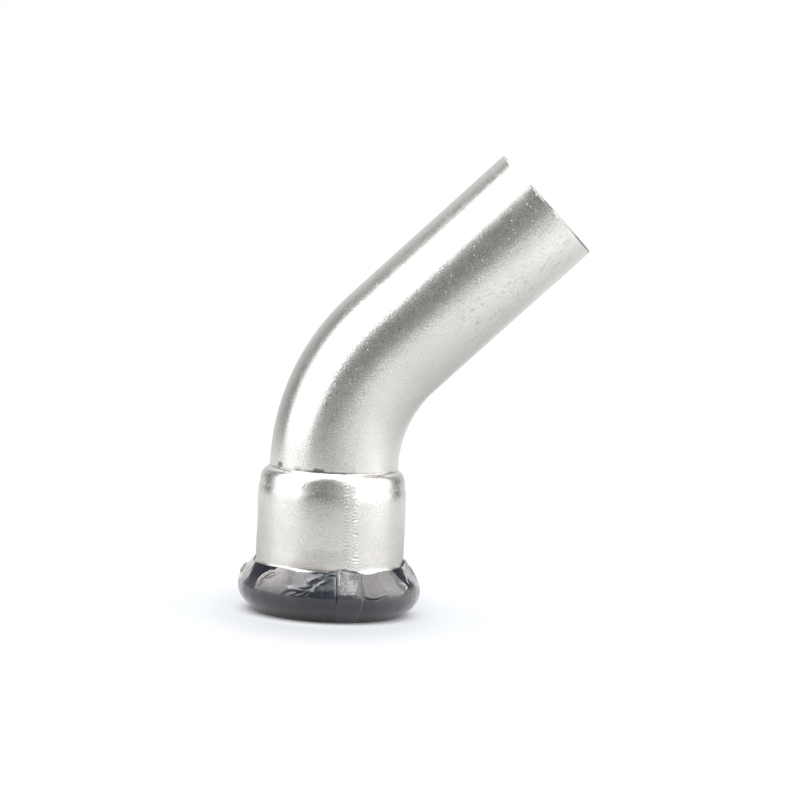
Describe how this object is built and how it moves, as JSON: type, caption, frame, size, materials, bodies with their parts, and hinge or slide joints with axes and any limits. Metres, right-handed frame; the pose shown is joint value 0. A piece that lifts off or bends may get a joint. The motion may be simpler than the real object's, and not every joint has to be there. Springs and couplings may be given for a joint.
{
  "type": "forty-five degree press elbow",
  "caption": "Bent stainless tube fitting with a press socket, bead, sealing ring and film band at its lower end and a plain tube end above.",
  "frame": {"origin": "centre of the socket's mouth, on its end face", "axes": "+Z along the socket's axis into the fitting, the plain end leans towards +X in the XZ plane, and the film's lap faces -Y"},
  "size_m": [0.0572, 0.0314, 0.0795],
  "materials": {
    "steel": "satin, pickled",
    "rubber": "matt black",
    "film": "glossy dark smoke film"
  },
  "bodies": {
    "root": {"elbow_body": "steel", "sealing_ring": "rubber", "indicator_film": "film"}
  },
  "joints": []
}
